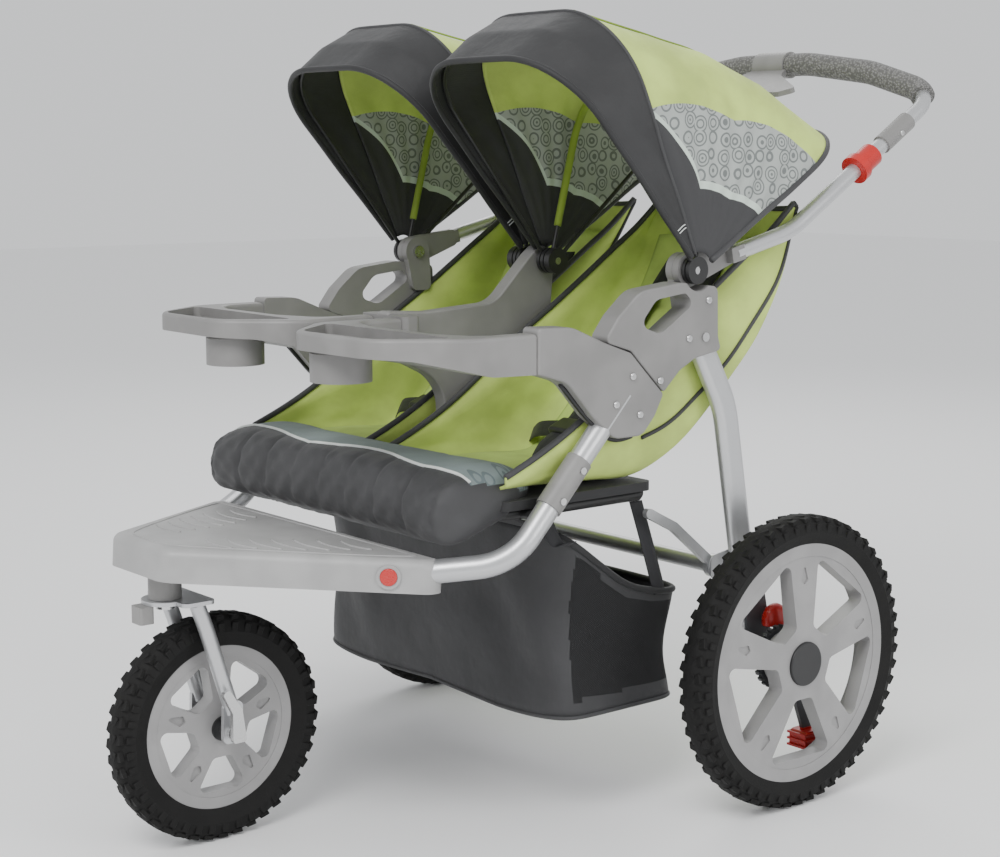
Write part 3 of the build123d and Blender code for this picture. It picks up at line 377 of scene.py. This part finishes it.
# a black rubber edge runs under each arm, where the tray slides in
for side in (1, -1):
    edge = [(side * 0.309, y + AXLE_Y, z) for y, z in
            ((-0.352, 0.596), (-0.330, 0.572), (-0.308, 0.550), (-0.290, 0.534), (-0.272, 0.520),
             (-0.250, 0.516), (-0.232, 0.520))]
    rope(f"arm_edge_{'left' if side > 0 else 'right'}", edge, 0.0035, "frame", "webbing", black_plastic)

# ---- Cloth finishes -----------------------------------------------------------------------------------
# Plain-woven polyester: lime for seats and roofs, charcoal for hoods, basket and cushion, and a pale
# cloth printed with rings. Each has a fine weave, soft creases with painted shade and light on them, and a
# slight sheen.


def cloth(name, colour, roughness=0.75, crease=0.002, sheen=0.06):
    """Woven cloth: a thread pattern and soft creases, with painted shade in the creases' hollows and painted
    light on their crests.
    """
    threads = 4200           # radians of the weave's wave to a metre
    made = Finish(name, colour, roughness, Sheen_Weight=sheen, Sheen_Roughness=0.5)
    folds = made.noise(0.07, 4, (1, 0.7, 1))
    # The base colour is painted shade and light: darker where the crease noise dips, lighter where it rises,
    # following the crease bump.
    dark = tuple(c * 0.80 for c in colour)
    light = tuple(min(1, c * 1.10) for c in colour)
    made.shade = made.mix(made.step(folds, 0.3, 0.7), dark, light)
    made.feed("Base Color", made.shade)
    x, y, z = [made.axis(letter) for letter in "XYZ"]
    across = made.maths("SINE", (x + y * 0.6) * threads)
    along = made.maths("SINE", (z + y * 0.4) * threads)
    made.bump(folds * (crease / 0.0002) + across * along * 0.35, 0.0002, 0.9)
    return made


lime = (0.52, 0.66, 0.150)
lime_cloth = cloth("lime_cloth", lime, crease=0.004)
charcoal_cloth = cloth("charcoal_cloth", (0.040, 0.040, 0.042), 0.6, crease=0.004)
black_cloth = cloth("black_cloth", (0.012, 0.012, 0.013), 0.6)
olive_cloth = cloth("olive_cloth", (0.24, 0.34, 0.04))
webbing = cloth("webbing", (0.012, 0.012, 0.014), 0.7)


def printed(name, ground, ink):
    """Cloth printed with rings inside rings, one set to a cell."""
    made = cloth(name, ground)
    flat = made.place((0, 1, 1))
    cell = made.add("TexVoronoi", {"feature": "F1"}, {"Vector": flat, "Scale": 46, "Randomness": 0.4},
                    "Distance")
    mark = made.step(made.maths("SINE", cell * 30), 0.05, 0.3) * (cell < 0.52)
    made.feed("Base Color", made.mix(mark, made.shade, ink))
    return made


teal_cloth = printed("teal_cloth", (0.19, 0.235, 0.235), (0.10, 0.13, 0.135))

# ---- Front cushion ------------------------------------------------------------------------------------
# One stuffed charcoal roll runs in front of both seats, tucked at every hand's width and topped by a
# printed panel with a pale bead sewn round it. It is stitched to the seats' front edges.


def surface_grid(name, across, along, place, body, slot, *finishes):
    """A sheet laid out as a grid; place turns two shares from 0 to 1 into a point."""
    bm = bmesh.new()
    bmesh.ops.create_grid(bm, x_segments=across, y_segments=along, size=0.5)
    for vert in bm.verts:
        vert.co = place(vert.co.x + 0.5, vert.co.y + 0.5)
    bmesh.ops.remove_doubles(bm, verts=bm.verts, dist=0.00002)
    for face in bm.faces:
        face.smooth = True
    bmesh.ops.recalc_face_normals(bm, faces=bm.faces)
    return new_piece(name, bm, body, slot, *finishes)


def thicken(piece, thickness, offset=-1):
    wall = piece.modifiers.new("thickness", "SOLIDIFY")
    wall.thickness = thickness
    wall.offset = offset


def plump(piece, cap):
    """Blows a closed shape up like stuffing does, no further than cap, and gives it back as a mesh."""
    soft = piece.modifiers.new("remesh", "REMESH")
    soft.mode = "VOXEL"
    soft.voxel_size = 0.006
    graph = bpy.context.evaluated_depsgraph_get()
    fine = bpy.data.meshes.new_from_object(piece.evaluated_get(graph))
    piece.modifiers.clear()
    trial = bpy.data.objects.new(piece.name + "_trial", fine)
    bpy.context.scene.collection.objects.link(trial)
    skin = trial.modifiers.new("cloth", "CLOTH")
    skin.settings.use_pressure = True
    skin.settings.uniform_pressure_force = 4
    skin.settings.effector_weights.gravity = 0
    skin.settings.tension_stiffness = 12
    for step in range(1, 21):
        bpy.context.scene.frame_set(step)
    graph = bpy.context.evaluated_depsgraph_get()
    blown = bpy.data.meshes.new_from_object(trial.evaluated_get(graph))
    for start, end in zip(fine.vertices, blown.vertices):
        move = end.co - start.co
        start.co = start.co + move * min(1, cap / max(move.length, 1e-6))
    bpy.data.objects.remove(trial)
    bpy.data.meshes.remove(blown)
    for material in piece.data.materials:
        if material.name not in fine.materials:
            fine.materials.append(material)
    for face in fine.polygons:
        face.use_smooth = True
    piece.data = fine
    bpy.context.scene.frame_set(1)


ROLL = (-0.438 + AXLE_Y, 0.450)              # middle of the roll: Y and Z
cushion_half = 0.288
TUCK_EVERY = 0.064


def seam_line(x):
    """The wavy seam along the roll where the printed panel begins."""
    return ROLL[0] - 0.030 + 0.010 * sin(x * 24)


def cushion_place(u, v):
    x = (2 * u - 1) * cushion_half
    t = 2 * pi * v
    end = max(0, (abs(x) - cushion_half + 0.03) / 0.03)
    size = sqrt(max(0, 1 - end * end))
    c, s = cos(t), sin(t)
    deep = 0.082 * abs(c) ** 0.75 * (1 if c > 0 else -1)
    high = (0.036 - 0.16 * deep) * abs(s) ** 0.75 * (1 if s > 0 else -1)
    return (x, ROLL[0] + deep * size, ROLL[1] + high * size + deep * 0.17 * size)


cushion = surface_grid("front_cushion_roll", 120, 48, cushion_place, None, "cushion_dark", charcoal_cloth,
                       teal_cloth)
plump(cushion, 0.009)
for vert in cushion.data.vertices:
    x, y, z = vert.co
    front = max(0, min(1, (ROLL[0] - y - 0.016) / 0.03))
    tuck = abs((x / TUCK_EVERY) % 1 - 0.5)
    pull = 0.0042 * front * max(0, 1 - (0.5 - tuck) / 0.12) ** 2
    ripple = 0.0016 * sin(x * 170 + z * 60) * sin(z * 210)
    vert.co.y = y + pull + ripple * front
    vert.co.z = z - 0.5 * pull
for face in cushion.data.polygons:
    x, y, z = face.center
    if y > seam_line(x) and face.normal.z > 0.05 and abs(x) < cushion_half - 0.012:
        face.material_index = 1
bpy.context.view_layer.update()


def cushion_top(x, y):
    """Height of the cushion's skin over a point, by the mesh's own rays."""
    hit, spot, _, _ = cushion.ray_cast(Vector((x, y, 0.7)), Vector((0, 0, -1)))
    return (x, y, spot.z + 0.0006 if hit else ROLL[1] + 0.04)


wave = []
for k in range(45):
    x = -0.272 + 0.544 * k / 44
    wave.append(cushion_top(x, seam_line(x)))
white_bead = cloth("white_bead", (0.72, 0.75, 0.72))
rope("cushion_bead", wave, 0.0022, "frame", "cushion_dark", white_bead)
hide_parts("front_cushion")
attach(cushion, "frame")

# ---- Seats --------------------------------------------------------------------------------------------
# Each seat is one sling of lime cloth with high sides, bound in charcoal tape and hung between the
# brackets. A quilted pad lies in it, and a five-point harness of black webbing holds the child.
SEAT_X, SEAT_HALF = 0.159, 0.131
WEBBING_THICK = 0.0016
base_line = [(-0.424, 0.462), (-0.36, 0.459), (-0.27, 0.455), (-0.19, 0.455), (-0.135, 0.492),
             (-0.085, 0.545), (-0.03, 0.605), (0.022, 0.665), (0.055, 0.725), (0.086, 0.797)]
side_line = [(-0.424, 0.462), (-0.36, 0.459), (-0.27, 0.448), (-0.190, 0.430), (-0.125, 0.428),
             (-0.060, 0.464), (0.005, 0.525), (0.062, 0.600), (0.094, 0.690), (0.098, 0.797)]
edge_line = [(-0.424, 0.480), (-0.365, 0.505), (-0.30, 0.540), (-0.235, 0.585), (-0.175, 0.628),
             (-0.120, 0.662), (-0.065, 0.698), (-0.010, 0.735), (0.040, 0.768), (0.086, 0.806)]


def on_line(line, share):
    """A point a share of the way along a list of points, eased through its corners."""
    spot = share * (len(line) - 1)
    k = min(int(spot), len(line) - 2)
    t = spot - k
    before, start, end, after = (line[max(k - 1, 0)], line[k], line[k + 1], line[min(k + 2, len(line) - 1)])
    return tuple(0.5 * (2 * b + (c - a) * t + (2 * a - 5 * b + 4 * c - d) * t * t
                        + (3 * b - a - 3 * c + d) * t ** 3)
                 for a, b, c, d in zip(before, start, end, after))


def sling_point(u, v, middle, half):
    """A point of a seat's sling: v runs from its front edge to its top, u from side to side."""
    turn_ = pi * u
    c, s = cos(turn_), sin(turn_)
    low, high = on_line(base_line, v), on_line(edge_line, v)
    if c > 0:
        low = [a + (b - a) * c * c for a, b in zip(low, on_line(side_line, v))]
    out = (1 if middle > 0 else -1) * half * abs(c) ** 0.32 * (1 if c > 0 else -1)
    rise = 1 - max(s, 0) ** 0.42
    y = low[0] + (high[0] - low[0]) * rise
    z = low[1] + (high[1] - low[1]) * rise
    fold = 0.0022 * sin(v * 31 + u * 7) * sin(u * 23) * max(0, 1 - 3 * abs(rise - 0.4))
    return (middle + out + fold, y + AXLE_Y, z + 0.004)


pad_cloth = cloth("pad_cloth", (0.46, 0.60, 0.145), crease=0.003)
buckle_plastic = moulded("buckle_plastic", (0.02, 0.02, 0.022), 0.35)


def ribbon(name, points, wide, thick, body, finish):
    """Flat webbing through points, its width along the vector wide."""
    across = Vector(wide)

    def place(u, v):
        return Vector(on_line(points, v)) + across * (u - 0.5)

    strap = surface_grid(name, 3, 8 * (len(points) - 1), place, None, "webbing", finish)
    thicken(strap, thick, 0)
    if body:
        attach(strap, body)
    return strap


def seat(side, word):
    body = f"seat_{word}"
    middle = SEAT_X * side
    sling = surface_grid(f"seat_sling_{word}", 64, 56, lambda u, v: sling_point(u, v, middle, SEAT_HALF),
                         None, "seat_lime", lime_cloth)
    thicken(sling, 0.004, 0)
    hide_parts(f"seat_back_{word}")
    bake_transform(sling)
    pad = surface_grid(f"seat_pad_{word}", 34, 60, lambda u, v: pad_point(u, v, middle), None, "seat_lime",
                       pad_cloth)
    thicken(pad, 0.009, 0)
    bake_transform(pad)
    for hand, end in (("outer", 0.0), ("inner", 1.0)):
        tape = [sling_point(end, k / 24, middle, SEAT_HALF) for k in range(25)]
        bead = rope(f"seat_tape_{word}_{hand}", tape, 0.0042, None, "webbing", charcoal_cloth)
        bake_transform(bead)
        low_tape = [sling_point(0.5 + (0.5 - end) * -0.86, 0.36 + 0.64 * k / 20, middle, SEAT_HALF + 0.003)
                    for k in range(21)]
        rope(f"seat_piping_{word}_{hand}", low_tape, 0.0028, body, "webbing", charcoal_cloth)
    top = [sling_point(k / 20, 1, middle, SEAT_HALF) for k in range(21)]
    rope(f"seat_top_tape_{word}", top, 0.0045, body, "webbing", charcoal_cloth)
    for hand in (-1, 1):
        x = middle + hand * 0.045
        label = "a" if hand < 0 else "b"
        shoulder = [(x - hand * inward, y + AXLE_Y, z) for inward, y, z in (
            (0, 0.055, 0.752), (0, 0.0, 0.690), (0.006, -0.06, 0.622), (0.016, -0.125, 0.560),
            (0.028, -0.185, 0.515))]
        ribbon(f"shoulder_strap_{word}_{label}", shoulder, (0.024, 0, 0), WEBBING_THICK, body, webbing)
        lap = [(middle + hand * outward, y + AXLE_Y, z) for outward, y, z in (
            (0.115, -0.175, 0.485), (0.075, -0.195, 0.500), (0.022, -0.205, 0.508))]
        ribbon(f"lap_strap_{word}_{label}", lap, (0, 0.010, 0.020), WEBBING_THICK, "frame", webbing)
    crotch = [(middle, y + AXLE_Y, z) for y, z in ((-0.262, 0.470), (-0.245, 0.492), (-0.220, 0.506))]
    ribbon(f"crotch_strap_{word}", crotch, (0.03, 0, 0), WEBBING_THICK, "frame", webbing)
    bm = bmesh.new()
    bmesh.ops.create_cube(bm, size=1)
    bmesh.ops.scale(bm, vec=(0.048, 0.034, 0.012), verts=bm.verts)
    bmesh.ops.bevel(bm, geom=bm.edges[:], offset=0.005, segments=4, affect="EDGES", profile=0.5,
                    material=-1)
    bmesh.ops.rotate(bm, cent=(0, 0, 0), matrix=Matrix.Rotation(radians(22), 3, "X"), verts=bm.verts)
    bmesh.ops.translate(bm, vec=(middle, -0.208 + AXLE_Y, 0.512), verts=bm.verts)
    new_piece(f"buckle_{word}", bm, "frame", "dark_plastic", buckle_plastic)
    pocket = surface_grid(f"rear_pocket_{word}", 24, 16, lambda u, v: pocket_point(u, v, middle), None,
                          "seat_lime", lime_cloth)
    thicken(pocket, 0.0025, 0)
    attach(pocket, body)
    rim = [pocket_point(k / 12, 1, middle) for k in range(13)]
    rope(f"pocket_tape_{word}", rim, 0.003, body, "webbing", charcoal_cloth)


def pad_point(u, v, middle):
    """The quilted pad follows the sling's base, puffed between its cross seams."""
    v = 0.03 + 0.90 * v
    low = on_line(base_line, v)
    ahead = on_line(base_line, min(v + 0.02, 1))
    slope = Vector((0, ahead[0] - low[0], ahead[1] - low[1])).normalized()
    normal = Vector((0, -slope.z, slope.y))
    puff = 0.007 * abs(sin(v * pi * 8)) ** 0.4 * (1 - (2 * u - 1) ** 4)
    return Vector((middle + (u - 0.5) * 0.19, low[0] + AXLE_Y, low[1])) + normal * (0.013 + puff)


def pocket_point(u, v, middle):
    """A slack pocket sewn to the back of the seat."""
    share = 0.60 + 0.26 * v
    low = on_line(base_line, share)
    belly = 0.016 * sin(pi * u) ** 0.6 * (0.35 + 0.65 * v)
    return (middle + (u - 0.5) * 0.20, low[0] + AXLE_Y + 0.006 + belly, low[1] - 0.004 - belly * 0.5)


for side, word in ((1, "left"), (-1, "right")):
    seat(side, word)
dress(black_cloth, "seat_pans")

# ---- Canopies -----------------------------------------------------------------------------------------
# Cloth stretched over three wire bows that fan out from the hubs. A charcoal hood reaches forward, and
# the roof behind it is lime on top, with printed side panels over charcoal tips and a pale tape between.
HUB_Y, HUB_Z = -0.128 + AXLE_Y, 0.728
BAY, CANOPY_HALF, CORNER = 0.171, 0.155, 0.105
ridge = [(47, 0.3605), (57, 0.3615), (66, 0.360), (85, 0.3115), (104, 0.297), (125, 0.309), (149, 0.353)]


def crown(angle):
    """Distance from the hub to the top of the canopy at an angle above forward."""
    for (a0, r0), (a1, r1) in zip(ridge, ridge[1:]):
        if angle <= a1:
            break
    a, b, whole = radians(angle - a0), radians(a1 - angle), radians(a1 - a0)
    return r0 * r1 * sin(whole) / (r0 * sin(a) + r1 * sin(b))


def hood_point(angle, share, middle, low=0.024, inset=0.0):
    """A point of the canopy: share runs over it from its outer low edge to its inner one."""
    r, half = crown(angle) - inset, CANOPY_HALF - inset
    corner = CORNER - inset
    side_run, arc = r - corner - low, pi / 2 * corner
    whole = 2 * (side_run + arc + half - corner)
    run = share * whole
    mirror = 1
    if run > whole / 2:
        run, mirror = whole - run, -1
    if run < side_run:
        x, d = half, low + run
    elif run < side_run + arc:
        turn_ = (run - side_run) / corner
        x, d = half - corner + corner * cos(turn_), r - corner + corner * sin(turn_)
    else:
        x, d = half - corner - (run - side_run - arc), r
    a = radians(angle)
    sag = 0.004 * sin(pi * min(max((angle - 66) / 38, 0), 1)) + 0.004 * sin(
        pi * min(max((angle - 104) / 45, 0), 1))
    d -= sag * max(0, (d - 0.1) / 0.25)
    out = 0.0015 * sin(angle * 0.55 + d * 40) * max(0, 1 - abs(d - 0.17) / 0.14)
    return (middle + mirror * (x + out), HUB_Y - d * cos(a), HUB_Z + d * sin(a))


roof_cloth = cloth("roof_cloth", lime, crease=0.005)
ry, rz = roof_cloth.axis("Y") - HUB_Y, roof_cloth.axis("Z") - HUB_Z
reach = roof_cloth.maths("SQRT", ry * ry + rz * rz)
bearing = roof_cloth.maths("ARCTAN2", rz, ry * -1)


def ramp(finish, value, low, high):
    return finish.add("MapRange", {}, {"Value": value, "From Min": radians(low), "From Max": radians(high)})


tip = ramp(roof_cloth, bearing, 66, 90) * -0.110 + 0.215 + ramp(roof_cloth, bearing, 120, 149) * 0.025
panel = ramp(roof_cloth, bearing, 66, 104) * -0.022 + 0.224 + ramp(roof_cloth, bearing, 108, 149) * 0.058
flat_place = roof_cloth.place((0, 1, 1))
cells = roof_cloth.add("TexVoronoi", {"feature": "F1"}, {"Vector": flat_place, "Scale": 46,
                                                         "Randomness": 0.4}, "Distance")
rings = roof_cloth.step(roof_cloth.maths("SINE", cells * 30), 0.05, 0.3) * (cells < 0.52)
print_colour = roof_cloth.mix(rings, (0.37, 0.395, 0.375), (0.15, 0.165, 0.16))
side_colour = roof_cloth.mix(reach < panel, roof_cloth.shade, print_colour)
side_colour = roof_cloth.mix(reach < (tip + 0.010), side_colour, (0.55, 0.63, 0.56))
roof_cloth.feed("Base Color", roof_cloth.mix(reach < tip, side_colour, (0.036, 0.036, 0.038)))

hood_cloth = cloth("hood_cloth", (0.020, 0.020, 0.021), 0.55, crease=0.006, sheen=0.03)
for side, word in ((1, "left"), (-1, "right")):
    middle = BAY * side
    front = surface_grid(f"canopy_hood_{word}", 90, 20,
                         lambda u, v: hood_point(48 + 18 * v, u, middle), None,
                         "canopy_dark", hood_cloth)
    thicken(front, 0.003, -1)
    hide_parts(f"canopy_visor_{word}")
    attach(front, f"canopy_{word}")
    roof = surface_grid(f"canopy_roof_{word}", 100, 70,
                        lambda u, v: hood_point(65.6 + 83 * v, u, middle, inset=0.003 * (1 - v)), None,
                        "canopy_lime", roof_cloth)
    thicken(roof, 0.0025, -1)
    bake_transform(roof)
    if side > 0:
        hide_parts("canopy_roofs")
    for angle, radius, finish, body, label in ((47.8, 0.0042, black_cloth, f"canopy_{word}", "front"),
                                               (65.8, 0.0026, charcoal_cloth, f"canopy_{word}", "seam"),
                                               (148.8, 0.0042, charcoal_cloth, "handle", "rear")):
        edge = [hood_point(angle, k / 44, middle, inset=0.0005) for k in range(45)]
        rope(f"canopy_{label}_piping_{word}", edge, radius, body, "canopy_dark", finish)
    for x in (-0.075, 0.075):
        gore = [hood_point(66 + 82 * k / 16, 0.5 + x / 0.95, middle) for k in range(17)]
        bead = rope(f"roof_seam_{word}_{'a' if x < 0 else 'b'}", gore, 0.0014, None, "canopy_lime",
                    olive_cloth)
        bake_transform(bead)
    for reach_in, hand in ((0.312, 1), (0.030, -1)):
        x = reach_in * side
        sleeve = []
        for k in range(24):
            run = 0.05 + 0.215 * k / 23
            past = max(0, run - 0.169) / 0.12
            d = min(run, 0.169) + 0.12 * sin(past)
            along = x - hand * side * 0.12 * (1 - cos(past))
            a = radians(104)
            sleeve.append((along, HUB_Y - d * cos(a), HUB_Z + d * sin(a)))
        rope(f"bow_sleeve_{word}_{'outer' if hand > 0 else 'inner'}", sleeve, 0.0055,
             f"canopy_{word}_middle", "canopy_lime", olive_cloth)
    for shift in (0.008, 0.013):
        for low_end in (0.035, 0.965):
            line = [hood_point(48.6 + 17 * k / 8, low_end + (shift if low_end < 0.5 else -shift), middle,
                               inset=-0.0006) for k in range(9)]
            rope(f"hood_stitch_{word}_{round(shift * 1000)}_{'outer' if low_end < 0.5 else 'inner'}", line,
                 0.0007, f"canopy_{word}", "canopy_dark", white_bead)
    slit = [hood_point(118 + k, 0.5, middle, inset=-0.002) for k in range(4)]
    loop = ribbon(f"roof_loop_{word}", slit, (0.05, 0, 0), 0.002, None, webbing)
    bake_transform(loop)

# ---- Basket -------------------------------------------------------------------------------------------
# One slack charcoal bag under the seats with black mesh sides, hemmed with tape and hung from the rails
# on four webbing straps.
basket_cloth = cloth("basket_cloth", (0.032, 0.032, 0.034), 0.6, crease=0.006)
B_FRONT, B_REAR, B_HALF = -0.325 + AXLE_Y, -0.095 + AXLE_Y, 0.281
net = Finish("basket_net", (0.012, 0.012, 0.013), 0.8)
hole_y = net.maths("SINE", net.axis("Y") * 2600)
hole_z = net.maths("SINE", net.axis("Z") * 2600)
net.feed("Alpha", 1 - (hole_y * hole_z > 0.25) * 0.65)
net.bump(hole_y * hole_z, 0.0003)


def basket_edge(y):
    """Height of the basket's open edge over a Y place."""
    back = y - AXLE_Y
    high = 0.404 - (back + 0.327) * 0.70 if back < -0.2 else 0.315 - (back + 0.2) * 0.20
    return high - 0.008 * sin(pi * (back + 0.327) / 0.234)


def basket_point(u, v):
    """u runs round the bag from the middle of its front; v from its edge down and in to its floor."""
    t = 2 * pi * u
    c, s = cos(t), sin(t)
    x = B_HALF * abs(s) ** 0.28 * (1 if s > 0 else -1)
    deep = (B_REAR - B_FRONT) / 2
    y = (B_REAR + B_FRONT) / 2 - deep * abs(c) ** 0.28 * (1 if c > 0 else -1)
    top = basket_edge(y)
    wall = min(v / 0.6, 1)
    floor_share = max(0, (v - 0.6) / 0.4)
    base = 0.150 - 0.006 * sin(pi * min(1, abs(x) / B_HALF))
    z = top + (base - top) * wall ** 0.92
    pull = 1 - 0.10 * sin(pi * wall) * 0.4
    keep = 1 - floor_share
    crease = 0.004 * sin(x * 46 + z * 25) * sin(pi * wall)
    soft = 0.010 * (wall ** 6)
    x = x * pull * keep * (1 - soft)
    y = (B_REAR + B_FRONT) / 2 + (y - (B_REAR + B_FRONT) / 2) * pull * keep * (1 - 3 * soft)
    return (x, y + crease * keep, z - 0.006 * sin(pi * floor_share))


bag = surface_grid("basket_bag", 160, 44, basket_point, None, "basket_dark", basket_cloth, net)
for face in bag.data.polygons:
    x, y, z = face.center
    if abs(x) > B_HALF - 0.022 and y > B_FRONT + 0.03 and 0.172 < z < basket_edge(y) - 0.012:
        face.material_index = 1
thicken(bag, 0.002, 0)
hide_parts("basket")
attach(bag, "frame")
hem = [basket_point(k / 80, 0.0) for k in range(80)]
rope("basket_hem", hem, 0.0045, "frame", "basket_dark", black_cloth, closed=True)
floor_seam = [basket_point(k / 80, 0.6) for k in range(80)]
rope("basket_floor_piping", floor_seam, 0.0028, "frame", "basket_dark", charcoal_cloth, closed=True)
apron = surface_grid("basket_apron", 30, 8, lambda u, v: (
    (u - 0.5) * 0.52, -0.326 - 0.066 * v + AXLE_Y - 0.006 * sin(pi * v), 0.398 + 0.034 * v), None,
                     "basket_dark", black_cloth)
thicken(apron, 0.002, 0)
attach(apron, "frame")
for side, word in ((1, "left"), (-1, "right")):
    for y0, y1, place in ((-0.310, -0.342, "front"), (-0.150, -0.182, "rear")):
        points = [(side * 0.266, y1 + AXLE_Y, 0.4232),
                  (side * 0.274, (y0 + y1) / 2 + AXLE_Y, 0.385 if place == "front" else 0.36),
                  (side * B_HALF, y0 + AXLE_Y, basket_edge(y0 + AXLE_Y) - 0.004)]
        ribbon(f"basket_strap_{word}_{place}", points, (0, 0.022, 0), WEBBING_THICK, "frame",
                             webbing)
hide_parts("basket_straps")
